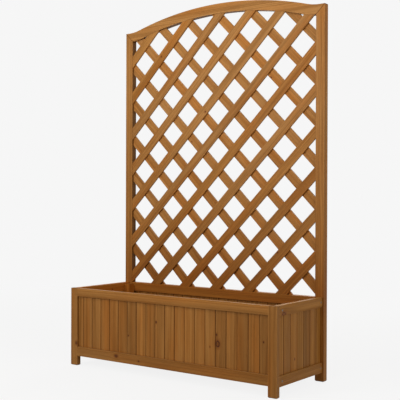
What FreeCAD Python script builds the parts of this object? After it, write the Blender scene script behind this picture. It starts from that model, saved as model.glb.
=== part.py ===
import FreeCAD, Part
import itertools
import math
import os
import re

import Sketcher

# Wooden floor planter with an arched trellis at its back.
# The origin is on the floor under the middle of the object. +X is to the right
# seen from the front, +Y is towards the trellis and +Z is up. Millimetres.

os.makedirs("parts", exist_ok=True)
doc = FreeCAD.newDocument("planter")
dims = doc.addObject("Spreadsheet::Sheet", "dims")

SIZES = {
    # the whole object
    "overall_width": 1000,
    "overall_depth": 365,
    "overall_height": 1500,  # crown of the arch
    "rim_height": 320,  # top of the planter box
    # flat front legs and the rails flush with them
    "leg_width": 36,
    "leg_depth": 19,
    "foot_chamfer": 3,
    "front_top_height": 33,
    "front_bottom_height": 38,
    "front_foot_gap": 40,  # floor to the bottom rail
    # side rails, between the legs and the posts
    "side_inset": 5,  # outer face behind the leg's outer face
    "side_rail_depth": 19,
    "side_top_height": 36,
    "side_bottom_height": 37,
    "side_foot_gap": 35.5,
    # trellis frame
    "post_width": 37,
    "post_depth": 26,
    "arch_rise": 67,  # crown above the posts
    "arch_end_height": 37,
    "arch_crown_height": 40,
    "outer_shoulder": 50,  # level length before the arch begins
    "inner_shoulder": 29,
    "outer_blend": 200,
    "inner_blend": 130,
    "rim_rail_height": 37,
    "back_bottom_height": 38,
    "back_foot_gap": 40,
    # lattice
    "slat_width": 36,
    "slat_thickness": 8,
    "slat_spacing": 112.8,  # square to the slats, adjusted to fill the frame evenly
    "slat_angle": 45,
    "slat_recess": 1,
    "front_lowest_rise": 153,  # where the lowest slat meets the post, above the rim
    "front_highest_drop": 94.5,  # where the highest slat meets the post, below the arch
    "back_lowest_rise": 158.5,
    "back_highest_drop": 89,
    # upright boards, held in grooves
    "board_pitch": 47.7,
    "board_thickness": 8,
    "board_recess": 8,  # behind the outer face of the rails
    "narrowest_board": 15,
    "joint_bevel": 1.5,
    "tongue_length": 5,
    "tongue_thickness": 3,
    "tongue_play": 0.2,
    "groove_depth": 8,
    "groove_play": 0.2,
    "end_play": 0.3,
    "tenon_shoulder": 8,
    # corner battens
    "batten_width": 36,
    "batten_thickness": 26,
    "batten_drop": 6,  # below the rim
    # floor
    "cleat_height": 20,
    "cleat_thickness": 19,
    "floor_count": 9,
    "floor_width": 90,
    "floor_thickness": 10,
    "floor_play": 1,
    # screws through the ends of the side rails
    "screw_diameter": 4,
    "screw_head": 8,
    "head_depth": 2.5,
    "screw_tip": 5,
    "screw_bite": 15,  # into the batten
    "drill_play": 0.2,
    "screw_from_leg": 27,
    "screw_from_post": 11,
}
for row, (alias, number) in enumerate(SIZES.items(), start=1):
    dims.set(f"A{row}", alias)
    dims.set(f"B{row}", str(number))
    dims.setAlias(f"B{row}", alias)
doc.recompute()

# Places that several pieces share
FRONT = "(-overall_depth / 2)"
BACK = "(overall_depth / 2)"
HALF = "(overall_width / 2)"
TRELLIS = "(overall_depth / 2 - post_depth)"  # front face of the posts
SHOULDER = "(overall_height - arch_rise)"  # outer corners of the mitres
BOX_BACK = f"({FRONT} + leg_depth)"  # back face of the front legs
SIDE_FACE = f"({HALF} - side_inset)"
SIDE_INNER = f"({SIDE_FACE} - side_rail_depth)"
BATTEN_INNER = f"({SIDE_INNER} - batten_thickness)"
FRONT_SPAN = "(overall_width - 2 * leg_width)"
BACK_SPAN = "(overall_width - 2 * post_width)"
SIDE_SPAN = f"({TRELLIS} - {BOX_BACK})"
CLEAT_TOP = "(front_foot_gap + cleat_height)"
GROOVE_WIDTH = "(board_thickness + groove_play)"
X_AXIS = FreeCAD.Vector(1, 0, 0)
Y_AXIS = FreeCAD.Vector(0, 1, 0)
Z_AXIS = FreeCAD.Vector(0, 0, 1)
ALIAS = re.compile(r"[a-z]+(?:_[a-z]+)+")

sub_parts = []


def formula(text):
    """The same formula with each size read from the sheet."""
    return ALIAS.sub(lambda word: "dims." + word.group(0), text)


def size(text):
    """The number that a formula gives now."""
    result = dims.evalExpression(formula(text))
    return float(getattr(result, "Value", result))


def bind(thing, name, text):
    thing.setExpression(name, formula(text))


def place(thing, x, y, z, axis=Z_AXIS, turn=0):
    """Put an object's own origin at x, y, z and turn it about an axis."""
    thing.Placement = FreeCAD.Placement(FreeCAD.Vector(), FreeCAD.Rotation(axis, turn))
    bind(thing, "Placement.Base.x", x)
    bind(thing, "Placement.Base.y", y)
    bind(thing, "Placement.Base.z", z)


def new_body(label):
    body = doc.addObject("PartDesign::Body", label)
    body.Label = label
    return body


def keep(thing, label):
    """Count an object as a sub-part of the planter."""
    thing.Label = label
    sub_parts.append(thing)


def new_sketch(body, role):
    """An empty sketch on one of the body's own origin planes."""
    sketch = body.newObject("Sketcher::SketchObject", body.Name + "_sketch")
    plane = next(item for item in body.Origin.OriginFeatures if item.Role == role)
    sketch.AttachmentSupport = [(plane, "")]
    sketch.MapMode = "FlatFace"
    return sketch


def measure(sketch, kind, text, *ends):
    """Add a dimension and tie it to a formula."""
    index = sketch.addConstraint(Sketcher.Constraint(kind, *ends, size(text)))
    bind(sketch, f"Constraints[{index}]", text)


def arch_between(point, other, radius):
    """An arc that curves upwards between two points at one level, from right to left."""
    middle = (point + other) / 2
    half = abs(other.x - point.x) / 2
    drop = math.sqrt(radius ** 2 - half ** 2)
    circle = Part.Circle(middle - FreeCAD.Vector(0, drop, 0), Z_AXIS, radius)
    angle = math.atan2(drop, half)
    return Part.ArcOfCircle(circle, angle, math.pi - angle)


def outline(body, role, corners):
    """A closed outline through the corners, each fully dimensioned.

    The edge that follows a corner is straight, or an arch where the corner has a radius too.
    """
    sketch = new_sketch(body, role)
    points = [FreeCAD.Vector(size(corner[0]), size(corner[1]), 0) for corner in corners]
    ends = []
    for index, (_, _, *radius) in enumerate(corners):
        point = points[index]
        following = points[(index + 1) % len(points)]
        if radius:
            sketch.addGeometry(arch_between(point, following, size(radius[0])))
            measure(sketch, "Radius", radius[0], index)
            ends.append((1, 2) if following.x < point.x else (2, 1))
        else:
            sketch.addGeometry(Part.LineSegment(point, following))
            ends.append((1, 2))
    for index, (x, y, *_) in enumerate(corners):
        first = ends[index][0]
        last = ends[index - 1][1]
        joint = Sketcher.Constraint("Coincident", index, first, (index - 1) % len(points), last)
        sketch.addConstraint(joint)
        measure(sketch, "DistanceX", x, -1, 1, index, first)
        measure(sketch, "DistanceY", y, -1, 1, index, first)
    return sketch


def pad(body, sketch, length, reverse=False):
    feature = body.newObject("PartDesign::Pad", body.Name + "_pad")
    feature.Profile = sketch
    feature.Reversed = reverse
    bind(feature, "Length", length)
    sketch.Visibility = False


def block(body, kind, corner, lengths):
    """Add or cut a rectangular block whose low corner and edge lengths are formulas."""
    feature = body.newObject(f"PartDesign::{kind}Box", body.Name + "_block")
    for name, text in zip(("Length", "Width", "Height"), lengths):
        bind(feature, name, text)
    for name, text in zip("xyz", corner):
        bind(feature, f"Placement.Base.{name}", text)


def ease_foot(body):
    """Chamfer the edges that stand on the floor."""
    doc.recompute()
    base = body.Tip
    low = [
        f"Edge{number}"
        for number, edge in enumerate(base.Shape.Edges, start=1)
        if all(abs(vertex.Z) < 0.001 for vertex in edge.Vertexes)
    ]
    chamfer = body.newObject("PartDesign::Chamfer", body.Name + "_foot")
    chamfer.Base = (base, low)
    bind(chamfer, "Size", "foot_chamfer")


# ---------------------------------------------------------------- screws

def turned_screw(label, play):
    """A countersunk screw along Z with its head at the top, or its drill when play is given."""
    body = new_body(label)
    head = f"screw_head / 2 + {play}"
    shank = f"screw_diameter / 2 + {play}"
    point = f"-(side_rail_depth + screw_bite + {play})"
    corners = [
        ("0", "0"),
        (head, "0"),
        (shank, "-head_depth"),
        (shank, f"{point} + screw_tip"),
        ("0", point),
    ]
    sketch = outline(body, "XZ_Plane", corners)
    turn = body.newObject("PartDesign::Revolution", f"{label}_turn")
    turn.Profile = sketch
    turn.ReferenceAxis = (sketch, ["V_Axis"])
    turn.Angle = 360
    sketch.Visibility = False
    return body


def screw_row(label, pattern):
    """A copy of the pattern through each end of each side rail."""
    heights = ("rim_height - side_top_height / 2", "side_foot_gap + side_bottom_height / 2")
    along = (f"{BOX_BACK} + screw_from_leg", f"{TRELLIS} - screw_from_post")
    copies = []
    for side, z, y in itertools.product((1, -1), heights, along):
        copy = doc.addObject("App::Link", f"{label}_{len(copies) + 1}")
        copy.LinkedObject = pattern
        place(copy, f"{side} * {SIDE_FACE}", y, z, Y_AXIS, side * 90)
        copies.append(copy)
    row = doc.addObject("Part::Compound", f"{label}_row")
    row.Links = copies
    return row


keep(screw_row("screw", turned_screw("screw", "0")), "side_rail_screws")
drills = screw_row("drill", turned_screw("drill", "drill_play"))


def drilled(piece, label):
    """The piece with its screw holes."""
    cut = doc.addObject("Part::Cut", f"{label}_drilled")
    cut.Base = piece
    cut.Tool = drills
    keep(cut, label)


# ---------------------------------------------------------------- legs and posts

def front_leg(label, side):
    """Flat leg with a stopped groove on its inner edge for the tenons and boards."""
    body = new_body(label)
    inner = f"{-side} * leg_width"
    corners = [("0", "0"), (inner, "0"), (inner, "leg_depth"), ("0", "leg_depth")]
    pad(body, outline(body, "XY_Plane", corners), "rim_height")
    low_x = "-leg_width" if side > 0 else "leg_width - groove_depth"
    low_z = "front_foot_gap + tenon_shoulder"
    height = f"rim_height - tenon_shoulder - ({low_z})"
    block(body, "Subtractive", (low_x, "board_recess", low_z), ("groove_depth", GROOVE_WIDTH, height))
    ease_foot(body)
    place(body, f"{side} * {HALF}", FRONT, "0")
    keep(body, label)


def trellis_post(label, side):
    """Full-height post: back leg below, mitred at the arch above, grooved for the back panel."""
    body = new_body(label)
    inner = f"{-side} * post_width"
    corners = [
        ("0", "0"),
        (inner, "0"),
        (inner, f"{SHOULDER} - arch_end_height"),
        ("0", SHOULDER),
    ]
    pad(body, outline(body, "XZ_Plane", corners), "post_depth", reverse=True)
    low_x = "-post_width" if side > 0 else "post_width - groove_depth"
    low_y = f"post_depth - board_recess - {GROOVE_WIDTH}"
    low_z = "back_foot_gap + tenon_shoulder"
    height = f"rim_height - tenon_shoulder - ({low_z})"
    block(body, "Subtractive", (low_x, low_y, low_z), ("groove_depth", GROOVE_WIDTH, height))
    ease_foot(body)
    place(body, f"{side} * {HALF}", TRELLIS, "0")
    keep(body, label)


for side, word in ((-1, "left"), (1, "right")):
    front_leg(f"front_leg_{word}", side)
    trellis_post(f"trellis_post_{word}", side)


# ---------------------------------------------------------------- rails of the box

def rail(label, length, depth, height, groove_up, tenons):
    """Rail along X, outer face at y = 0, with a groove for the boards and stub tenons."""
    body = new_body(label)
    near = "board_recess"
    far = f"board_recess + {GROOVE_WIDTH}"
    if groove_up:
        floor = f"{height} - groove_depth"
        groove = [(far, height), (far, floor), (near, floor), (near, height)]
        corners = [("0", "0"), (depth, "0"), (depth, height)] + groove + [("0", height)]
        tenon_low = "tenon_shoulder"
    else:
        groove = [(near, "0"), (near, "groove_depth"), (far, "groove_depth"), (far, "0")]
        corners = [("0", "0")] + groove + [(depth, "0"), (depth, height), ("0", height)]
        tenon_low = "groove_depth"
    pad(body, outline(body, "YZ_Plane", corners), length)
    if tenons:
        tenon_height = f"{height} - tenon_shoulder - groove_depth"
        for x in ("-groove_depth", length):
            block(body, "Additive", (x, near, tenon_low), ("groove_depth", "board_thickness", tenon_height))
    return body


def front_rails():
    corner = (f"-{FRONT_SPAN} / 2", FRONT)
    top = rail("front_top_rail", FRONT_SPAN, "leg_depth", "front_top_height", False, True)
    place(top, *corner, "rim_height - front_top_height")
    keep(top, "front_top_rail")
    low = rail("front_bottom_rail", FRONT_SPAN, "leg_depth", "front_bottom_height", True, True)
    place(low, *corner, "front_foot_gap")
    keep(low, "front_bottom_rail")


def back_rails():
    corner = (f"{BACK_SPAN} / 2", BACK)
    top = rail("rim_rail", BACK_SPAN, "post_depth", "rim_rail_height", False, True)
    place(top, *corner, "rim_height - rim_rail_height", Z_AXIS, 180)
    keep(top, "rim_rail")
    low = rail("back_bottom_rail", BACK_SPAN, "post_depth", "back_bottom_height", True, True)
    place(low, *corner, "back_foot_gap", Z_AXIS, 180)
    keep(low, "back_bottom_rail")


def side_rails(word, side):
    corner = (f"{side} * {SIDE_FACE}", BOX_BACK if side > 0 else TRELLIS)
    turn = side * 90
    top = rail(f"{word}_top_blank", SIDE_SPAN, "side_rail_depth", "side_top_height", False, False)
    place(top, *corner, "rim_height - side_top_height", Z_AXIS, turn)
    drilled(top, f"{word}_top_rail")
    low = rail(f"{word}_bottom_blank", SIDE_SPAN, "side_rail_depth", "side_bottom_height", True, False)
    place(low, *corner, "side_foot_gap", Z_AXIS, turn)
    drilled(low, f"{word}_bottom_rail")


front_rails()
back_rails()
side_rails("left", -1)
side_rails("right", 1)


# ---------------------------------------------------------------- upright boards

def board(label, width, length, grooved, tongued):
    """One board in plan, outer face at y = 0, with its groove at x = 0 and its tongue past its width."""
    body = new_body(label)
    near = "(board_thickness - tongue_thickness) / 2"
    far = "(board_thickness + tongue_thickness) / 2"
    corners = [("joint_bevel", "0"), (f"{width} - joint_bevel", "0"), (width, "joint_bevel")]
    if tongued:
        tip = f"{width} + tongue_length"
        corners += [(width, near), (tip, near), (tip, far), (width, far)]
    corners += [(width, "board_thickness"), ("0", "board_thickness")]
    if grooved:
        depth = "tongue_length + tongue_play"
        near = f"{near} - tongue_play / 2"
        far = f"{far} + tongue_play / 2"
        corners += [("0", far), (depth, far), (depth, near), ("0", near)]
    corners.append(("0", "joint_bevel"))
    pad(body, outline(body, "XY_Plane", corners), length)
    return body


def board_panel(label, span, length, start, direction, turn, ripped_first):
    """A row of boards from start along direction. The board at one end is ripped to fill the span."""
    full = int((size(span) - size("narrowest_board")) // size("board_pitch"))
    ripped = f"({span} - {full} * board_pitch)"
    first = board(f"{label}_first", ripped if ripped_first else "board_pitch", length, False, True)
    field = board(f"{label}_field", "board_pitch", length, True, True)
    last = board(f"{label}_last", "board_pitch" if ripped_first else ripped, length, True, False)
    patterns = [first] + [field] * (full - 1) + [last]
    row = []
    for number, pattern in enumerate(patterns):
        gone = f"({number} * board_pitch)"
        if ripped_first and number:
            gone = f"({ripped} + {number - 1} * board_pitch)"
        copy = doc.addObject("App::Link", f"{label}_{number + 1}")
        copy.LinkedObject = pattern
        x, y, z = start
        place(copy, f"{x} + {direction[0]} * {gone}", f"{y} + {direction[1]} * {gone}", z, Z_AXIS, turn)
        row.append(copy)
    panel = doc.addObject("Part::Compound", f"{label}_panel")
    panel.Links = row
    keep(panel, label)


def held_length(low, high):
    """Length of a board that stands in the groove below and reaches into the groove above."""
    return f"({high} - {low} + 2 * groove_depth - end_play)"


def board_panels():
    low = "(front_foot_gap + front_bottom_height)"
    high = "(rim_height - front_top_height)"
    span = f"({FRONT_SPAN} + 2 * groove_depth)"
    start = (f"-{span} / 2", f"{FRONT} + board_recess", f"{low} - groove_depth")
    board_panel("front_boards", span, held_length(low, high), start, (1, 0), 0, True)

    low = "(back_foot_gap + back_bottom_height)"
    high = "(rim_height - rim_rail_height)"
    span = f"({BACK_SPAN} + 2 * groove_depth)"
    start = (f"{span} / 2", f"{BACK} - board_recess", f"{low} - groove_depth")
    board_panel("back_boards", span, held_length(low, high), start, (-1, 0), 180, True)

    low = "(side_foot_gap + side_bottom_height)"
    high = "(rim_height - side_top_height)"
    face = f"({SIDE_FACE} - board_recess)"
    length = held_length(low, high)
    start = (face, BOX_BACK, f"{low} - groove_depth")
    board_panel("right_boards", SIDE_SPAN, length, start, (0, 1), 90, False)
    start = (f"-{face}", TRELLIS, f"{low} - groove_depth")
    board_panel("left_boards", SIDE_SPAN, length, start, (0, -1), -90, True)


board_panels()


# ---------------------------------------------------------------- battens and floor

def corner_batten(label, side, y):
    body = new_body(f"{label}_blank")
    inner = f"{-side} * batten_thickness"
    corners = [("0", "0"), (inner, "0"), (inner, "batten_width"), ("0", "batten_width")]
    pad(body, outline(body, "XY_Plane", corners), "rim_height - batten_drop - side_foot_gap")
    place(body, f"{side} * {SIDE_INNER}", y, "side_foot_gap")
    drilled(body, label)


def floor_cleat(label, y):
    body = new_body(label)
    left = f"-{BATTEN_INNER}"
    right = BATTEN_INNER
    corners = [(left, "0"), (right, "0"), (right, "cleat_thickness"), (left, "cleat_thickness")]
    pad(body, outline(body, "XY_Plane", corners), "cleat_height")
    place(body, "0", y, "front_foot_gap")
    keep(body, label)


def floor_slat(label, x, ear_left, ear_right):
    """Floor slat from front to back. An ear fills the space between the two battens at an end."""
    body = new_body(label)
    depth = f"({SIDE_SPAN} - 2 * floor_play)"
    corners = [("0", "0"), ("floor_width", "0")]
    if ear_right:
        tip = "floor_width + batten_thickness"
        corners += [("floor_width", "batten_width"), (tip, "batten_width")]
        corners += [(tip, f"{depth} - batten_width"), ("floor_width", f"{depth} - batten_width")]
    corners += [("floor_width", depth), ("0", depth)]
    if ear_left:
        tip = "-batten_thickness"
        corners += [("0", f"{depth} - batten_width"), (tip, f"{depth} - batten_width")]
        corners += [(tip, "batten_width"), ("0", "batten_width")]
    pad(body, outline(body, "XY_Plane", corners), "floor_thickness")
    place(body, x, f"{BOX_BACK} + floor_play", CLEAT_TOP)
    keep(body, label)


def floor_slats():
    """Slats on the two cleats, with drainage gaps between them."""
    count = int(size("floor_count"))
    start = f"(floor_play - {BATTEN_INNER})"
    step = f"((-2 * {start} - floor_width) / ({count} - 1))"
    for number in range(count):
        x = f"{start} + {number} * {step}"
        floor_slat(f"floor_slat_{number + 1}", x, number == 0, number == count - 1)


for side, word in ((-1, "left"), (1, "right")):
    corner_batten(f"front_batten_{word}", side, BOX_BACK)
    corner_batten(f"back_batten_{word}", side, f"{TRELLIS} - batten_width")
floor_cleat("floor_cleat_front", BOX_BACK)
floor_cleat("floor_cleat_back", f"{TRELLIS} - cleat_thickness")
floor_slats()


# ---------------------------------------------------------------- arch

# Heights in the outlines of the arch and of the lattice window are measured from the shoulders.
OUTER_HALF = f"({HALF} - outer_shoulder)"
INNER_EDGE = f"({HALF} - post_width)"
INNER_HALF = f"({INNER_EDGE} - inner_shoulder)"
INNER_RISE = "(arch_rise - arch_crown_height + arch_end_height)"
UNDER = "-arch_end_height"


def arc_radius(half, rise):
    """Radius of the arc that rises so much over half its span."""
    return f"(({half} ^ 2 + {rise} ^ 2) / (2 * {rise}))"


OUTER_RADIUS = arc_radius(OUTER_HALF, "arch_rise")
INNER_RADIUS = arc_radius(INNER_HALF, INNER_RISE)


def blend(body, half, level, radius, flat, arc):
    """Round the corners where the level ends run into the arch, within the level length."""
    doc.recompute()
    base = body.Tip
    corners = []
    for number, edge in enumerate(base.Shape.Edges, start=1):
        middle = edge.CenterOfMass
        if abs(abs(middle.x) - size(half)) < 0.01 and abs(middle.z - size(level)) < 0.01:
            corners.append(f"Edge{number}")
    fillet = body.newObject("PartDesign::Fillet", f"{body.Name}_{radius}")
    fillet.Base = (base, corners)
    bind(fillet, "Radius", f"min({radius}; 0.9 * {flat} / tan(asin({half} / {arc}) / 2))")


def arch_rail():
    """Arched rail with level ends, mitred to the posts."""
    body = new_body("arch_rail")
    corners = [
        (HALF, "0"),
        (OUTER_HALF, "0", OUTER_RADIUS),
        (f"-{OUTER_HALF}", "0"),
        (f"-{HALF}", "0"),
        (f"-{INNER_EDGE}", UNDER),
        (f"-{INNER_HALF}", UNDER, INNER_RADIUS),
        (INNER_HALF, UNDER),
        (INNER_EDGE, UNDER),
    ]
    pad(body, outline(body, "XZ_Plane", corners), "post_depth", reverse=True)
    blend(body, OUTER_HALF, "0", "outer_blend", "outer_shoulder", OUTER_RADIUS)
    blend(body, INNER_HALF, UNDER, "inner_blend", "inner_shoulder", INNER_RADIUS)
    place(body, "0", TRELLIS, SHOULDER)
    keep(body, "arch_rail")


arch_rail()


# ---------------------------------------------------------------- lattice

def lattice_window():
    """The space inside the trellis frame that the slats fill, two slats deep."""
    body = new_body("lattice_window")
    sill = f"(rim_height - {SHOULDER})"
    corners = [
        (INNER_EDGE, sill),
        (INNER_EDGE, UNDER),
        (INNER_HALF, UNDER, INNER_RADIUS),
        (f"-{INNER_HALF}", UNDER),
        (f"-{INNER_EDGE}", UNDER),
        (f"-{INNER_EDGE}", sill),
    ]
    pad(body, outline(body, "XZ_Plane", corners), "2 * slat_thickness", reverse=True)
    blend(body, INNER_HALF, UNDER, "inner_blend", "inner_shoulder", INNER_RADIUS)
    place(body, "0", f"{TRELLIS} + slat_recess", SHOULDER)
    return body


def lattice_layer(word, lean, depth):
    """One layer of parallel slats, from the lowest up. Lean is 1 where they rise to the right.

    Each slat is a long strip cut to the window. Its place is the height at which its centre line
    crosses the middle of the trellis.
    """
    climb = f"{INNER_EDGE} * tan(slat_angle)"
    lowest = f"(rim_height + {word}_lowest_rise - {climb})"
    highest = f"({SHOULDER} - arch_end_height - {word}_highest_drop + {climb})"
    gaps = round(size(f"({highest} - {lowest}) * cos(slat_angle) / slat_spacing"))
    reach = "(overall_width + overall_height)"
    x = f"{lean} * slat_width / 2 * sin(slat_angle) - {reach} / 2 * cos(slat_angle)"
    drop = f"slat_width / 2 * cos(slat_angle) + {lean} * {reach} / 2 * sin(slat_angle)"
    for number in range(gaps + 1):
        label = f"lattice_{word}_{number + 1:02d}"
        strip = doc.addObject("Part::Box", f"{label}_strip")
        bind(strip, "Length", reach)
        bind(strip, "Width", "slat_thickness")
        bind(strip, "Height", "slat_width")
        crossing = f"{lowest} + {number} * ({highest} - {lowest}) / {gaps}"
        y = f"{TRELLIS} + slat_recess + {depth}"
        place(strip, x, y, f"{crossing} - ({drop})", Y_AXIS, -lean * size("slat_angle"))
        bind(strip, "Placement.Rotation.Angle", f"{-lean} * slat_angle")
        slat = doc.addObject("Part::Common", f"{label}_cut")
        slat.Base = strip
        slat.Tool = window
        keep(slat, label)


window = lattice_window()
lattice_layer("front", 1, "0")
lattice_layer("back", -1, "slat_thickness")


# ---------------------------------------------------------------- check and write

doc.recompute()
for thing in doc.Objects:
    if "Invalid" in thing.State or "Error" in thing.State:
        raise RuntimeError(f"{thing.Label} failed: {thing.State}")
for piece in sub_parts:
    if piece.Shape.isNull() or not piece.Shape.isValid() or not piece.Shape.Solids:
        raise RuntimeError(f"{piece.Label} has no sound solid")
for piece in sub_parts:
    piece.Shape.exportStep(f"parts/{piece.Label}.step")
print(len(sub_parts), "sub-parts,", sum(len(piece.Shape.Solids) for piece in sub_parts), "solids")
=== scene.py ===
import math
import random

import bmesh
import bpy
from mathutils import Matrix, Vector


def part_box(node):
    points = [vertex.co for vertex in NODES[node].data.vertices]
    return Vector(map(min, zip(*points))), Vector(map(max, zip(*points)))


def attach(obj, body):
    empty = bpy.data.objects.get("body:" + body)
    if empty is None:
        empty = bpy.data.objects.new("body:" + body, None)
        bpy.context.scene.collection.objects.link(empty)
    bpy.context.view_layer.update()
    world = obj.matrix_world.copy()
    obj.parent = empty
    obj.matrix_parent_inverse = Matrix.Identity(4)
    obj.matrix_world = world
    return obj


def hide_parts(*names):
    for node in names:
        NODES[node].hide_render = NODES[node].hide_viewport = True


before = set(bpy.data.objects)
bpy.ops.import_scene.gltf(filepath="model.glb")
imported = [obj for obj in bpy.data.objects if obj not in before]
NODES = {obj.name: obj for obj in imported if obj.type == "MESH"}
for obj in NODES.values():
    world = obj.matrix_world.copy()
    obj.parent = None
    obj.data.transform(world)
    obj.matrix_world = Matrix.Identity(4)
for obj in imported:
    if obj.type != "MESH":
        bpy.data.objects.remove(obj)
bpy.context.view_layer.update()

X = Vector((1, 0, 0))
Y = Vector((0, 1, 0))
Z = Vector((0, 0, 1))

# Camera, solved from the photograph's edges
IMAGE_SIZE = 400
FOCAL_PIXELS = 826.3
CENTRE_ROW = 202.9  # image row that the lens axis meets
CAMERA_PLACE = (1.9860, -2.6295, 0.6845)
CAMERA_YAW = 36.615
CAMERA_PITCH = -0.147
CAMERA_ROLL = 0.194

BACKGROUND = (0.922, 0.922, 0.922, 1)
# Near the object, this share of the floor's look is its own pale colour, and the rest is light and shadow
FLOOR_GLOW = 0.90
NEAR_FLOOR = (0.950, 0.950, 0.950, 1)
FLOOR_BOUNCE = (0.55, 0.55, 0.55, 1)
FLOOR_SIZE = 60
FADE_START = 0.8  # distance from the object at which the floor starts to run into the background
FADE_END = 3.5
LAMP_COLOR = (1.0, 0.985, 0.94)

# Stained fir
EARLY_WOOD = (0.380, 0.178, 0.050, 1)
RED_WOOD = (0.375, 0.144, 0.028, 1)
LATE_WOOD = (0.220, 0.086, 0.014, 1)
DEEP_STAIN = (0.145, 0.052, 0.006, 1)
# Dark joint lines, and painted shade in creases and inner corners
JOINT_AND_SHADE_DARK = (0.110, 0.034, 0.004, 1)
# Worn wood on rubbed edges, and painted light on faces that look up
WORN_AND_LIT_WOOD = (0.450, 0.228, 0.080, 1)
KNOT_HEART = (0.070, 0.018, 0.004, 1)
KNOT_HALO = (0.180, 0.054, 0.008, 1)
# Tints on those colours: inside the box, on its front and back, and on its sides, where the tint is
# painted light, the colour that the light on the sides gives them. At three heights of the trellis
# the tints are painted light and shade: darker low down and paler towards the arch
INSIDE_TINT = (0.930, 0.720, 0.370, 1)
BOX_TINT = (0.930, 0.875, 0.745, 1)
SIDE_PAINTED_LIGHT = (0.970, 0.895, 0.600, 1)
LOW_PAINTED_SHADE = (0.800, 0.620, 0.335, 1)
MIDDLE_PAINTED_SHADE = (0.960, 0.885, 0.725, 1)
HIGH_PAINTED_LIGHT = (1.25, 1.26, 1.30, 1)
RING_SPACING = 0.0042
EDGE_ROUND = 0.0012
RUBBED_EDGE = 0.0018  # how far from an edge the stain is rubbed off
SHADE_REACH = 0.003  # how far painted shade reaches out of an inner corner

# Boards: where their joints start and how far apart they are, from the part's sizes
BOARD_PITCH = 0.0477
LEG_BACK = -0.1635
POST_FRONT = 0.1565
FRONT_JOINTS = 0.472 - 20 * BOARD_PITCH
BACK_JOINTS = -0.471

# Side screws: the heads' plane, and their places along and up the side
SCREW_FACE = 0.495
SCREW_DEPTHS = (LEG_BACK + 0.027, POST_FRONT - 0.011)
SCREW_HEIGHTS = (0.302, 0.054)

# Slats and knots that stand out on the lattice
LIGHT_SLATS = (
    "lattice_front_02", "lattice_front_04", "lattice_front_08", "lattice_front_09",
    "lattice_back_02", "lattice_back_04", "lattice_back_07", "lattice_back_09", "lattice_back_10",
)
DARK_SLATS = ("lattice_back_01", "lattice_back_12")
SEEN_KNOTS = {
    "lattice_front_11": ((-0.298, 0.0, 1.311),),
    "lattice_front_05": ((-0.140, 0.0, 0.640),),
}


# ---------------------------------------------------------------- node trees

class Tree:
    """Short calls that add linked nodes to a node tree."""

    def __init__(self, tree):
        self.tree = tree

    def node(self, kind, inputs=None, **settings):
        node = self.tree.nodes.new(kind)
        for name, value in settings.items():
            setattr(node, name, value)
        for name, value in (inputs or {}).items():
            self.feed(node.inputs[name], value)
        return node

    def feed(self, socket, value):
        if isinstance(value, bpy.types.NodeSocket):
            self.tree.links.new(value, socket)
        else:
            socket.default_value = value

    def math(self, operation, *values):
        inputs = dict(enumerate(values))
        return self.node("ShaderNodeMath", inputs, operation=operation).outputs[0]

    def vector(self, operation, *values):
        node = self.node("ShaderNodeVectorMath", dict(enumerate(values)), operation=operation)
        return node.outputs["Value" if operation in ("LENGTH", "DOT_PRODUCT") else "Vector"]

    def split(self, vector):
        return self.node("ShaderNodeSeparateXYZ", {0: vector}).outputs

    def join(self, x, y, z):
        return self.node("ShaderNodeCombineXYZ", {0: x, 1: y, 2: z}).outputs[0]

    def blend(self, factor, first, second):
        """Mix two colours."""
        node = self.node("ShaderNodeMix", data_type="RGBA", blend_type="MIX")
        self.feed(node.inputs[0], factor)
        self.feed(node.inputs[6], first)
        self.feed(node.inputs[7], second)
        return node.outputs[2]

    def step(self, value, low, high, start=0.0, end=1.0):
        """Smooth step from start to end as the value goes from low to high."""
        inputs = {"Value": value, 1: low, 2: high, 3: start, 4: end}
        node = self.node("ShaderNodeMapRange", inputs, interpolation_type="SMOOTHSTEP")
        return node.outputs[0]

    def noise(self, vector, stretch, detail=2.0, roughness=0.5):
        """Noise with its own scale along each axis, in cycles per metre."""
        scaled = self.vector("MULTIPLY", vector, stretch)
        inputs = {"Vector": scaled, "Scale": 1.0, "Detail": detail, "Roughness": roughness}
        return self.node("ShaderNodeTexNoise", inputs)


def new_material(name):
    """An empty material and its tree."""
    material = bpy.data.materials.new(name)
    material.use_nodes = True
    material.node_tree.nodes.clear()
    return material, Tree(material.node_tree)


def new_group(name, inputs, outputs):
    """An empty node group with sockets given as name: socket type."""
    group = bpy.data.node_groups.new(name, "ShaderNodeTree")
    for label, kind in inputs.items():
        group.interface.new_socket(label, in_out="INPUT", socket_type=kind)
    for label, kind in outputs.items():
        group.interface.new_socket(label, in_out="OUTPUT", socket_type=kind)
    tree = Tree(group)
    return group, tree, tree.node("NodeGroupInput").outputs, tree.node("NodeGroupOutput").inputs


# ---------------------------------------------------------------- wood
# Grain space: the first axis runs along the grain, the second across the face that shows
# most and the third into the piece.

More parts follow.
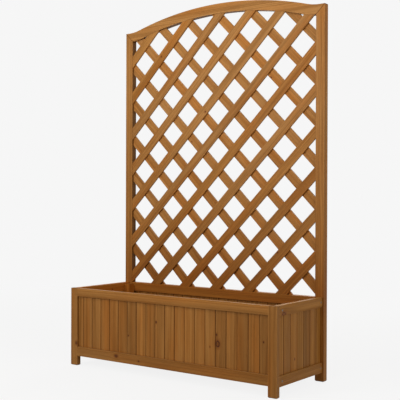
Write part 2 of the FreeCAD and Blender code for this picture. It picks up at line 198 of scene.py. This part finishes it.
def knot_group():
    """One knot: the grain is pushed aside around it. Open 1 gives a dark ring with a pale heart."""
    group, tree, given, result = new_group(
        "knot",
        {
            "Vector": "NodeSocketVector",
            "Centre": "NodeSocketVector",
            "Radius": "NodeSocketFloat",
            "Open": "NodeSocketFloat",
            "Heart": "NodeSocketFloat",
            "Halo": "NodeSocketFloat",
        },
        {"Vector": "NodeSocketVector", "Heart": "NodeSocketFloat", "Halo": "NodeSocketFloat"},
    )
    along, across, _ = tree.split(tree.vector("SUBTRACT", given["Vector"], given["Centre"]))
    uneven = tree.noise(given["Vector"], (260, 260, 60)).outputs["Fac"]
    flat = tree.join(tree.math("DIVIDE", along, 1.35), across, 0.0)
    reach = tree.math("DIVIDE", tree.vector("LENGTH", flat), given["Radius"])
    reach = tree.math("ADD", reach, tree.math("MULTIPLY", tree.math("SUBTRACT", uneven, 0.5), 0.7))
    spread = tree.math("EXPONENT", tree.math("MULTIPLY", tree.math("POWER", reach, 2.0), -0.13))
    push = tree.math("MULTIPLY", tree.math("MULTIPLY", across, spread), -0.85)
    tree.feed(result["Vector"], tree.vector("ADD", given["Vector"], tree.join(0.0, push, 0.0)))
    full = tree.step(reach, 0.65, 1.1, 1.0, 0.0)
    edge = tree.math("ABSOLUTE", tree.math("SUBTRACT", reach, 0.85))
    ring = tree.step(edge, 0.1, 0.35, 1.0, 0.0)
    heart = tree.node("ShaderNodeMix", {0: given["Open"], 2: full, 3: ring}).outputs[0]
    tree.feed(result["Heart"], tree.math("MAXIMUM", heart, given["Heart"]))
    halo = tree.math("MULTIPLY", tree.step(reach, 0.8, 2.6, 1.0, 0.0), 0.75)
    tree.feed(result["Halo"], tree.math("MAXIMUM", halo, given["Halo"]))
    return group


def fir_group():
    """Stained fir: growth rings about the pith, long streaks, fine fibres and blotches of stain."""
    group, tree, given, result = new_group(
        "stained_fir",
        {
            "Vector": "NodeSocketVector",
            "Pith": "NodeSocketVector",
            "Shift": "NodeSocketVector",
            "Tone": "NodeSocketFloat",
            "Heart": "NodeSocketFloat",
            "Halo": "NodeSocketFloat",
            "End": "NodeSocketFloat",
            "Wear": "NodeSocketFloat",
            "ShadeAndJoints": "NodeSocketFloat",
            "Top": "NodeSocketFloat",
            "Tint": "NodeSocketColor",
        },
        {"Color": "NodeSocketColor", "Roughness": "NodeSocketFloat", "Height": "NodeSocketFloat"},
    )
    place = tree.vector("ADD", given["Vector"], given["Shift"])
    warp = tree.noise(place, (1.1, 7, 7), 2.0).outputs["Color"]
    warp = tree.vector("MULTIPLY", tree.vector("SUBTRACT", warp, (0.5, 0.5, 0.5)), (0, 0.020, 0.020))
    bent = tree.vector("ADD", given["Vector"], warp)
    _, across, depth = tree.split(tree.vector("SUBTRACT", bent, given["Pith"]))
    rings = tree.math("DIVIDE", tree.vector("LENGTH", tree.join(0.0, across, depth)), RING_SPACING)
    turn = tree.math("FRACT", rings)
    late = tree.math("MULTIPLY", tree.step(turn, 0.25, 0.9), tree.step(turn, 0.93, 1.0, 1.0, 0.0))
    year = tree.node("ShaderNodeTexWhiteNoise", {"W": tree.math("FLOOR", rings)}, noise_dimensions="1D")
    late = tree.math("MULTIPLY", late, tree.step(year.outputs["Value"], 0.0, 1.0, 0.35, 1.0))

    streak = tree.step(tree.noise(place, (1.2, 85, 85), 3.0, 0.6).outputs["Fac"], 0.36, 0.66)
    blotch = tree.step(tree.noise(place, (3.2, 16, 16), 2.0).outputs["Fac"], 0.35, 0.7)
    rust = tree.step(tree.noise(place, (2.6, 22, 22), 3.0).outputs["Color"], 0.42, 0.68)
    fibre = tree.noise(place, (14, 800, 800), 2.0, 0.6).outputs["Fac"]
    fleck = tree.step(tree.noise(place, (45, 900, 900), 1.0).outputs["Fac"], 0.68, 0.76)

    color = tree.blend(rust, EARLY_WOOD, RED_WOOD)
    color = tree.blend(tree.math("MULTIPLY", late, 0.55), color, LATE_WOOD)
    soak = tree.math("ADD", tree.math("MULTIPLY", streak, 0.38), tree.math("MULTIPLY", blotch, 0.17))
    soak = tree.math("ADD", soak, tree.math("MULTIPLY", fleck, 0.30))
    color = tree.blend(soak, color, DEEP_STAIN)
    # Rubbed edges are wear; faces that look up get the same pale colour as painted light from above
    worn_and_lit = tree.math("MAXIMUM", tree.math("MULTIPLY", given["Wear"], 0.55), given["Top"])
    color = tree.blend(worn_and_lit, color, WORN_AND_LIT_WOOD)
    color = tree.blend(tree.math("MULTIPLY", given["End"], 0.55), color, DEEP_STAIN)
    color = tree.blend(given["Halo"], color, KNOT_HALO)
    color = tree.blend(given["Heart"], color, KNOT_HEART)
    # Painted shade in creases and inner corners, together with the dark joint lines
    color = tree.blend(tree.math("MULTIPLY", given["ShadeAndJoints"], 0.85), color, JOINT_AND_SHADE_DARK)
    color = tree.vector("MULTIPLY", color, given["Tint"])
    light = tree.math("MULTIPLY", given["Tone"], tree.step(fibre, 0.2, 0.8, 0.88, 1.12))
    tree.feed(result["Color"], tree.vector("SCALE", color, (0, 0, 0), (0, 0, 0), light))

    rough = tree.math("ADD", 0.50, tree.math("MULTIPLY", streak, 0.08))
    rough = tree.math("SUBTRACT", rough, tree.math("MULTIPLY", late, 0.06))
    tree.feed(result["Roughness"], tree.math("ADD", rough, tree.math("MULTIPLY", given["End"], 0.2)))
    height = tree.math("ADD", tree.math("MULTIPLY", late, 0.5), tree.math("MULTIPLY", fibre, 0.5))
    height = tree.math("SUBTRACT", height, tree.math("MULTIPLY", fleck, 0.4))
    tree.feed(result["Height"], tree.math("SUBTRACT", height, tree.math("MULTIPLY", given["Heart"], 0.6)))
    return group


KNOT = knot_group()
FIR = fir_group()


def board_row(tree, vector, joints, pitch, tones):
    """Splits the second axis into boards.

    Gives the place in a board, the board's own random numbers, its tone, and how near its joint is.
    """
    along, across, depth = tree.split(vector)
    steps = tree.math("DIVIDE", tree.math("SUBTRACT", across, joints), pitch)
    number = tree.math("FLOOR", steps)
    inside = tree.math("MULTIPLY", tree.math("SUBTRACT", tree.math("FRACT", steps), 0.5), pitch)
    luck = tree.node("ShaderNodeTexWhiteNoise", {"W": number}, noise_dimensions="1D").outputs["Color"]
    ramp = tree.node("ShaderNodeValToRGB")
    ramp.color_ramp.interpolation = "CONSTANT"
    stops = ramp.color_ramp.elements
    count = len(tones)
    stops.remove(stops[1])
    for index, tone in enumerate(tones):
        stop = stops[0] if index == 0 else stops.new(index / count)
        stop.color = (tone, tone, tone, 1)
    tree.feed(ramp.inputs[0], tree.math("DIVIDE", tree.math("ADD", number, 0.5), float(count)))
    off_joint = tree.math("SUBTRACT", pitch / 2, tree.math("ABSOLUTE", inside))
    nearest = {"W": tree.math("ADD", tree.math("ROUND", steps), 0.5)}
    depth_luck = tree.node("ShaderNodeTexWhiteNoise", nearest, noise_dimensions="1D").outputs["Value"]
    joint = tree.step(off_joint, 0.0008, 0.0024, 1.0, 0.0)
    joint = tree.math("MULTIPLY", joint, tree.step(depth_luck, 0.0, 1.0, 0.6, 1.4))
    return tree.join(along, inside, depth), luck, ramp.outputs[0], joint


def painted_light_by_height(tree, coordinates):
    """Painted light and shade by height: a tint deep near the planter and pale at the arch, where the lamps
    light the trellis most.
    """
    height = tree.split(coordinates["Object"])[2]
    ramp = tree.node("ShaderNodeValToRGB", {0: tree.math("DIVIDE", height, 1.5)})
    stops = ramp.color_ramp.elements
    stops[0].position, stops[0].color = 0.15, BOX_TINT
    stops[1].position, stops[1].color = 0.96, HIGH_PAINTED_LIGHT
    stops.new(0.22).color = LOW_PAINTED_SHADE
    stops.new(0.43).color = MIDDLE_PAINTED_SHADE
    return ramp.outputs[0]


def mitre_line(tree, coordinates):
    """1 along the joints between the posts and the arch, which run from corner to corner."""
    outer = Vector(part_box("trellis_post_right")[1])
    post_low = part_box("trellis_post_right")[0]
    arch_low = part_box("arch_rail")[0]
    across = Vector((outer.z - arch_low[2], post_low[0] - outer.x)).normalized()
    x, _, z = tree.split(coordinates["Object"])
    sideways = tree.math("MULTIPLY", tree.math("SUBTRACT", tree.math("ABSOLUTE", x), outer.x), across.x)
    upwards = tree.math("MULTIPLY", tree.math("SUBTRACT", z, outer.z), across.y)
    distance = tree.math("ABSOLUTE", tree.math("ADD", sideways, upwards))
    return tree.step(distance, 0.0008, 0.0020, 1.0, 0.0)


def add_knots(tree, vector, knots):
    """Runs the grain past each knot. Gives the pushed place, and how much heart and halo is there."""
    heart = halo = 0.0
    for place_along, place_across, radius, is_open in knots:
        values = {
            "Vector": vector,
            "Centre": (place_along, place_across, 0.0),
            "Radius": radius,
            "Open": is_open,
            "Heart": heart,
            "Halo": halo,
        }
        spot = tree.node("ShaderNodeGroup", values, node_tree=KNOT)
        vector, heart, halo = (spot.outputs[key] for key in ("Vector", "Heart", "Halo"))
    return vector, heart, halo


def edge_wear(tree, vector, shade_and_joints):
    """1 where an edge has been rubbed, in patches, and never where shade is painted in a crease or a joint
    line is drawn.
    """
    rounded = tree.node("ShaderNodeBevel", {"Radius": RUBBED_EDGE}, samples=4).outputs[0]
    flat = tree.node("ShaderNodeNewGeometry").outputs["Normal"]
    edge = tree.step(tree.vector("DOT_PRODUCT", rounded, flat), 0.90, 0.995, 1.0, 0.0)
    rubbed = tree.noise(vector, (18, 40, 40), 2.0).outputs["Fac"]
    patchy = tree.math("MULTIPLY", edge, tree.step(rubbed, 0.3, 0.7, 0.2, 1.0))
    return tree.math("MULTIPLY", patchy, tree.math("SUBTRACT", 1.0, shade_and_joints))


def fir_surface(tree, values):
    """The shader for stained fir, from the values that the wood group takes."""
    wood = tree.node("ShaderNodeGroup", values, node_tree=FIR)
    bump_inputs = {"Height": wood.outputs["Height"], "Strength": 0.55, "Distance": 0.0004}
    shader = tree.node("ShaderNodeBsdfPrincipled", {
        "Base Color": wood.outputs["Color"],
        "Roughness": wood.outputs["Roughness"],
        "Specular IOR Level": 0.12,
        "Normal": tree.node("ShaderNodeBump", bump_inputs).outputs[0],
    })
    tree.node("ShaderNodeOutputMaterial", {"Surface": shader.outputs[0]})


def fir_material(name, along, across, centre=Vector(), knots=(), tone=1.0, boards=None, tint=BOX_TINT,
                 cast=None, fade=None, inward=None):
    """Wood for one piece, with its grain along one direction.

    Knots are (place along the grain, place across it, radius, open) in metres. Boards are
    (first joint, pitch, tones) where the piece is a row of boards. A tint of None follows the height,
    as painted light and shade. A cast multiplies the tint. Fade gives the tones at the piece's two
    edges. Faces that look inward, on the mitred frame of the trellis, are darkened as painted shade.
    """
    luck = random.Random(name)
    material, tree = new_material(name)
    grain = Matrix((along, across, along.cross(across)))
    coordinates = tree.node("ShaderNodeTexCoord").outputs
    mapping = {"Vector": coordinates["Object"], "Rotation": grain.to_euler("XYZ")}
    straight = tree.node("ShaderNodeMapping", mapping).outputs[0]
    vector, heart, halo = add_knots(tree, straight, knots)
    shift = tuple(luck.uniform(-9, 9) for _ in range(3))
    # Painted shade: the wood darkens where nearby surfaces occlude it, in inner corners and creases
    near = tree.node("ShaderNodeAmbientOcclusion", {"Distance": SHADE_REACH}, samples=4).outputs["AO"]
    shade_and_joints = tree.step(near, 0.35, 0.95, 1.0, 0.0)
    if boards:
        pushed = tree.vector("SUBTRACT", vector, straight)
        vector, numbers, tone, joint = board_row(tree, straight, *boards)
        vector = tree.vector("ADD", vector, pushed)
        shade_and_joints = tree.math("MAXIMUM", shade_and_joints, joint)
        shift = tree.vector("MULTIPLY_ADD", numbers, (7, 7, 7), shift)
        pith = tree.vector("MULTIPLY_ADD", numbers, (0, 0.12, 0.05), (0, -0.06, 0.02))
    else:
        vector = tree.vector("SUBTRACT", vector, tuple(grain @ centre))
        pith = (0, luck.uniform(-0.045, 0.045), luck.choice((-1, 1)) * luck.uniform(0.02, 0.06))

    normal = coordinates["Normal"]
    if fade:
        tone = tree.math("MULTIPLY", tone, tree.step(tree.split(vector)[1], -0.015, 0.015, *fade))
    # Painted shade: faces that look into the trellis frame are darkened; the mitres get dark joint lines
    if inward:
        facing = tree.vector("DOT_PRODUCT", normal, tuple(inward))
        tone = tree.math("MULTIPLY", tone, tree.step(facing, 0.6, 0.95, 1.0, 0.55))
        shade_and_joints = tree.math("MAXIMUM", shade_and_joints, mitre_line(tree, coordinates))
    tint = tint or painted_light_by_height(tree, coordinates)
    if cast:
        tint = tree.vector("MULTIPLY", tint, cast)
    end = tree.math("ABSOLUTE", tree.vector("DOT_PRODUCT", normal, tuple(along)))
    fir_surface(tree, {
        "Vector": vector,
        "Pith": pith,
        "Shift": shift,
        "Tone": tone,
        "Heart": heart,
        "Halo": halo,
        "End": tree.step(end, 0.6, 0.95),
        "Wear": edge_wear(tree, vector, shade_and_joints),
        "ShadeAndJoints": shade_and_joints,
        # Painted light: faces that look up are paler
        "Top": tree.step(tree.split(normal)[2], 0.4, 0.9, 0.0, 0.75),
        "Tint": tint,
    })
    return material


def dress(node, material):
    """Give a frame node its material and slightly rounded edges."""
    piece = NODES[node]
    piece.data.materials.clear()
    piece.data.materials.append(material)
    bevel = piece.modifiers.new("rounded edges", "BEVEL")
    bevel.width = EDGE_ROUND
    bevel.segments = 2
    bevel.limit_method = "ANGLE"
    bevel.angle_limit = math.radians(40)
    bevel.harden_normals = True


def centre_of(node):
    """Middle of a frame node's box."""
    low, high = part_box(node)
    return (Vector(low) + Vector(high)) / 2


def grow(node, along, across, knots=(), tone=1.0, tint=BOX_TINT, **look):
    """Dress a single piece of wood."""
    dress(node, fir_material(node, along, across, centre_of(node), knots, tone, tint=tint, **look))


# ---------------------------------------------------------------- frame of the box and trellis

def stray_knots(name, low, high, middle, half_width, count):
    """A few small knots at random places along a piece."""
    luck = random.Random(name + " knots")
    spots = []
    for _ in range(count):
        spots.append((
            luck.uniform(low, high),
            middle + luck.uniform(-0.7, 0.7) * half_width,
            luck.uniform(0.0016, 0.0028),
            0.0,
        ))
    return tuple(spots)


def dress_frame():
    """Legs, posts, rails and arch, with the knots that show on them."""
    grow("front_top_rail", X, Z, (), 1.04, fade=(0.96, 1.17))
    grow("front_bottom_rail", X, Z, ((-0.247, 0.064, 0.0055, 0.4), (-0.129, 0.057, 0.0026, 0.0)), 0.95)
    grow("front_leg_left", Z, X, ((0.093, -0.470, 0.0045, 0.5),), 1.03)
    grow("front_leg_right", Z, X, (), 1.04)
    # The side pieces take the sides' tint, which is painted light
    grow("right_top_rail", Y, Z, ((-0.1265, 0.287, 0.0075, 1.0),), 1.12, tint=SIDE_PAINTED_LIGHT)
    grow("right_bottom_rail", Y, Z, (), 1.06, tint=SIDE_PAINTED_LIGHT)
    # Painted light: this rail's tone is raised so that its inner face, seen across the box, looks lit
    grow("left_top_rail", Y, Z, ((0.044, 0.296, 0.002, 0.0),), 1.5, tint=INSIDE_TINT)
    grow("left_bottom_rail", Y, Z, ((-0.062, 0.052, 0.003, 0.0),), 1.0, tint=SIDE_PAINTED_LIGHT)
    grow("rim_rail", X, Z, (), 1.06, tint=INSIDE_TINT)
    grow("back_bottom_rail", X, Z, ((0.152, 0.060, 0.005, 0.0),), 0.97)
    # The trellis frame takes painted light and shade by height, and painted shade on its inner faces
    grow("trellis_post_left", Z, X, (), 1.11, tint=None, inward=X)
    grow("trellis_post_right", Z, X, (), 1.16, tint=None, inward=-X)
    grow("arch_rail", X, Z, (), 1.18, tint=None, inward=-Z)


def dress_inside():
    """Battens, cleats and floor slats, in the deeper tint of the inside."""
    for side in ("left", "right"):
        for end in ("front", "back"):
            grow(f"{end}_batten_{side}", Z, X, (), 1.3, tint=INSIDE_TINT)
    grow("floor_cleat_front", X, Z, (), 0.9, tint=INSIDE_TINT)
    grow("floor_cleat_back", X, Z, (), 0.9, tint=INSIDE_TINT)
    for node in sorted(NODES):
        if node.startswith("floor_slat"):
            middle = centre_of(node)
            knots = stray_knots(node, middle.y - 0.14, middle.y + 0.14, -middle.x, 0.04, 2)
            grow(node, Y, -X, knots, 1.0, tint=INSIDE_TINT)


# ---------------------------------------------------------------- boards

def board_tones(name, count, darker=(), lighter=()):
    """A tone for each board, with a few that stand out."""
    luck = random.Random(name)
    tones = [luck.uniform(1.01, 1.07) for _ in range(count)]
    for number in darker:
        tones[number] = luck.uniform(0.88, 0.93)
    for number in lighter:
        tones[number] = luck.uniform(1.13, 1.19)
    return tones


def dress_boards():
    """The four panels. The front and right ones have their knots where they show."""
    knots = (
        (0.216, -0.047, 0.0032, 0.0),
        (0.150, -0.189, 0.0022, 0.0),
        (0.196, 0.239, 0.0032, 0.0),
        (0.163, 0.244, 0.0085, 1.0),
        (0.149, 0.212, 0.0022, 0.0),
        (0.190, 0.441, 0.0024, 0.0),
    )
    tones = board_tones("front", 20, darker=(6, 15, 17, 19), lighter=(7, 10, 12))
    boards = (FRONT_JOINTS, BOARD_PITCH, tones)
    dress("front_boards", fir_material("front_boards", Z, X, knots=knots, boards=boards))

    knots = ((0.131, 0.052, 0.004, 0.0), (0.232, -0.203, 0.003, 0.0), (0.201, 0.322, 0.005, 0.5))
    boards = (BACK_JOINTS, BOARD_PITCH, board_tones("back", 20))
    dress("back_boards", fir_material("back_boards", Z, X, knots=knots, boards=boards))

    knots = ((0.115, -0.0375, 0.0026, 0.0),)
    # The side panels take the sides' tint, which is painted light
    boards = (LEG_BACK, BOARD_PITCH, board_tones("right", 7, darker=(4,), lighter=(2, 5, 6)))
    dress("right_boards", fir_material("right_boards", Z, Y, knots=knots, boards=boards, tint=SIDE_PAINTED_LIGHT))

    knots = ((0.187, 0.072, 0.003, 0.0),)
    boards = (POST_FRONT - 7 * BOARD_PITCH, BOARD_PITCH, board_tones("left", 7, darker=(2,)))
    dress("left_boards", fir_material("left_boards", Z, Y, knots=knots, boards=boards, tint=SIDE_PAINTED_LIGHT))


# ---------------------------------------------------------------- lattice

def dress_lattice():
    """Each slat has its own grain and tone, and some have a small knot."""
    rising = (X + Z).normalized()
    falling = (X - Z).normalized()
    for node in sorted(NODES):
        if not node.startswith("lattice"):
            continue
        luck = random.Random(node)
        front = "front" in node
        along = rising if front else falling
        across = (Z - X if front else X + Z).normalized()
        middle = centre_of(node)
        low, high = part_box(node)
        half = 0.45 * (high[0] - low[0]) * math.sqrt(2)
        start = middle.dot(along)
        count = luck.choice((0, 0, 1))
        knots = stray_knots(node, start - half, start + half, middle.dot(across), 0.014, count)
        for place in SEEN_KNOTS.get(node, ()):
            spot = Vector(place)
            knots += ((spot.dot(along), spot.dot(across), 0.0028, 0.0),)
        # Painted light: back slats get a higher tone and a paler cast, lifting the shade of the front slats
        # on them
        tone = luck.uniform(1.10, 1.17) if front else luck.uniform(1.19, 1.27)
        if node in LIGHT_SLATS:
            tone *= 1.09
        if node in DARK_SLATS:
            tone *= 0.87
        pale = luck.uniform(-1.0, 1.0) if front else luck.uniform(-0.2, 1.4)
        cast = (1.0, 1.0 + 0.04 * pale, 1.0 + 0.17 * pale)
        # The slats take painted light and shade by height
        grow(node, along, across, knots, tone, tint=None, cast=cast)


# ---------------------------------------------------------------- screws

def zinc():
    """Dull zinc plate with fine scratches and darker blotches."""
    material, tree = new_material("zinc")
    place = tree.node("ShaderNodeTexCoord").outputs["Object"]
    stain = tree.noise(place, (700, 700, 700), 3.0).outputs["Fac"]
    scratch = tree.noise(place, (500, 4000, 900), 2.0).outputs["Fac"]
    color = tree.blend(tree.step(stain, 0.35, 0.7), (0.11, 0.10, 0.08, 1), (0.24, 0.22, 0.19, 1))
    bump_inputs = {"Height": scratch, "Strength": 0.4, "Distance": 0.0001}
    shader = tree.node("ShaderNodeBsdfPrincipled", {
        "Base Color": color,
        "Metallic": 1.0,
        "Roughness": tree.step(scratch, 0.2, 0.8, 0.32, 0.52),
        "Normal": tree.node("ShaderNodeBump", bump_inputs).outputs[0],
    })
    tree.node("ShaderNodeOutputMaterial", {"Surface": shader.outputs[0]})
    return material


def screw_head(mesh, outward, place, turn):
    """A flat countersunk head with a cross recess. Its face is at place and looks outward."""
    radius = 0.004
    arm = 0.0022
    half_slot = 0.0005
    face_depth = 0.00005
    recess_depth = 0.0014
    cone_depth = 0.0025
    shank_end = 0.030
    sides = 32
    angles = [math.tau * k / sides for k in range(sides)]
    rim = [(radius * math.cos(angle), radius * math.sin(angle)) for angle in angles]
    corner = [(arm, half_slot), (half_slot, half_slot), (half_slot, arm)]
    cross = []
    for quarter in range(4):
        spin = Matrix.Rotation(math.pi / 2 * quarter, 2)
        cross += [tuple(spin @ Vector(point)) for point in corner]
    frame_matrix = Matrix.Translation(place) @ outward.to_track_quat("Z", "Y").to_matrix().to_4x4()
    frame_matrix = frame_matrix @ Matrix.Rotation(turn, 4, "Z")

    def loop(points, level, size=1.0):
        return [mesh.verts.new(frame_matrix @ Vector((x * size, y * size, level))) for x, y in points]

    def wall(first, second):
        count = len(first)
        for k in range(count):
            mesh.faces.new((first[k], first[(k + 1) % count], second[(k + 1) % count], second[k]))

    def ring_edges(verts):
        return [mesh.edges.new((verts[k - 1], verts[k])) for k in range(len(verts))]

    outer = loop(rim, -face_depth)
    inner = loop(cross, -face_depth)
    bmesh.ops.triangle_fill(mesh, edges=ring_edges(outer) + ring_edges(inner), use_beauty=True)
    cone = loop(rim, -cone_depth, 0.5)
    wall(cone, outer)
    shank = loop(rim, -shank_end, 0.5)
    wall(shank, cone)
    mesh.faces.new(list(reversed(shank)))
    floor = loop(cross, -recess_depth, 0.6)
    wall(inner, floor)
    mesh.faces.new(floor)


def dress_screws():
    """One screw through each end of each side rail, each turned a little differently."""
    luck = random.Random("screws")
    mesh = bmesh.new()
    for side in (-1, 1):
        for y in SCREW_DEPTHS:
            for z in SCREW_HEIGHTS:
                place = Vector((side * SCREW_FACE, y, z))
                screw_head(mesh, Vector((side, 0, 0)), place, luck.uniform(0, math.pi))
    bmesh.ops.recalc_face_normals(mesh, faces=mesh.faces)
    data = bpy.data.meshes.new("side_screws")
    mesh.to_mesh(data)
    mesh.free()
    screws = bpy.data.objects.new("side_screws", data)
    bpy.context.scene.collection.objects.link(screws)
    data.materials.append(zinc())
    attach(screws, "root")
    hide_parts("side_rail_screws")


# ---------------------------------------------------------------- camera, floor and light

def add_camera():
    """The photograph's camera. Its lens axis meets the image a little off the middle row."""
    data = bpy.data.cameras.new("camera")
    data.sensor_width = 36
    data.lens = FOCAL_PIXELS * 36 / IMAGE_SIZE
    data.shift_y = (CENTRE_ROW - IMAGE_SIZE / 2) / IMAGE_SIZE
    data.clip_end = 100
    camera = bpy.data.objects.new("camera", data)
    bpy.context.scene.collection.objects.link(camera)
    yaw = Matrix.Rotation(math.radians(CAMERA_YAW), 4, "Z")
    pitch = Matrix.Rotation(math.radians(90 + CAMERA_PITCH), 4, "X")
    roll = Matrix.Rotation(math.radians(CAMERA_ROLL), 4, "Z")
    camera.matrix_world = Matrix.Translation(CAMERA_PLACE) @ yaw @ pitch @ roll
    bpy.context.scene.camera = camera


def seen_directly(tree):
    """1 for rays that show the background as it is: camera, glossy and transmission rays."""
    path = tree.node("ShaderNodeLightPath").outputs
    seen = tree.math("MAXIMUM", path["Is Camera Ray"], path["Is Glossy Ray"])
    return tree.math("MAXIMUM", seen, path["Is Transmission Ray"])


def add_floor():
    """A pale floor that runs out into the background, with the object's soft shadow on it."""
    bpy.ops.mesh.primitive_plane_add(size=FLOOR_SIZE)
    floor = bpy.context.object
    floor.name = "floor"
    material, tree = new_material("floor")
    place = tree.node("ShaderNodeTexCoord").outputs["Object"]
    far = tree.step(tree.vector("LENGTH", place), FADE_START, FADE_END)
    seen = seen_directly(tree)
    glow_color = tree.blend(far, NEAR_FLOOR, BACKGROUND)
    plain = tree.node("ShaderNodeEmission", {"Color": glow_color, "Strength": 1.0})
    matt = tree.node("ShaderNodeBsdfDiffuse", {"Color": tree.blend(seen, FLOOR_BOUNCE, BACKGROUND)})
    glow = tree.node("ShaderNodeMix", {0: far, 2: FLOOR_GLOW, 3: 1.0}).outputs[0]
    share = tree.math("MULTIPLY", seen, glow)
    mix = tree.node("ShaderNodeMixShader", {0: share, 1: matt.outputs[0], 2: plain.outputs[0]})
    tree.node("ShaderNodeOutputMaterial", {"Surface": mix.outputs[0]})
    floor.data.materials.append(material)


def add_world():
    """Even light from the room, with the plain background where it is seen."""
    world = bpy.data.worlds.new("studio")
    world.use_nodes = True
    world.node_tree.nodes.clear()
    tree = Tree(world.node_tree)
    room = tree.node("ShaderNodeBackground", {"Color": (1.0, 0.99, 0.97, 1), "Strength": 0.28})
    plain = tree.node("ShaderNodeBackground", {"Color": BACKGROUND, "Strength": 1.0})
    mix = tree.node("ShaderNodeMixShader", {0: seen_directly(tree), 1: room.outputs[0], 2: plain.outputs[0]})
    tree.node("ShaderNodeOutputWorld", {"Surface": mix.outputs[0]})
    bpy.context.scene.world = world


def add_lamp(name, place, target, size, power):
    """A round soft lamp aimed at a target."""
    data = bpy.data.lights.new(name, "AREA")
    data.color = LAMP_COLOR
    data.shape = "DISK"
    data.size = size
    data.energy = power
    lamp = bpy.data.objects.new(name, data)
    bpy.context.scene.collection.objects.link(lamp)
    lamp.location = place
    lamp.rotation_euler = (Vector(target) - Vector(place)).to_track_quat("-Z", "Y").to_euler()


def add_lamps():
    """Soft lamps: in front, high in front so that the arch is the brightest, at the side, and behind."""
    add_lamp("front", (-0.8, -2.6, 1.5), (0, 0.1, 0.8), 1.2, 33)
    add_lamp("top", (0.6, -1.7, 2.6), (0, 0.1, 0.9), 1.2, 12)
    add_lamp("side", (3.0, -0.9, 1.3), (0, 0.0, 0.6), 1.6, 21)
    add_lamp("back", (-0.9, 3.2, 2.0), (0, 0.1, 0.7), 2.4, 38)


# ---------------------------------------------------------------- put together

dress_frame()
dress_inside()
dress_boards()
dress_lattice()
dress_screws()
add_camera()
add_floor()
add_world()
add_lamps()

view = bpy.context.scene.view_settings
view.view_transform = "Standard"
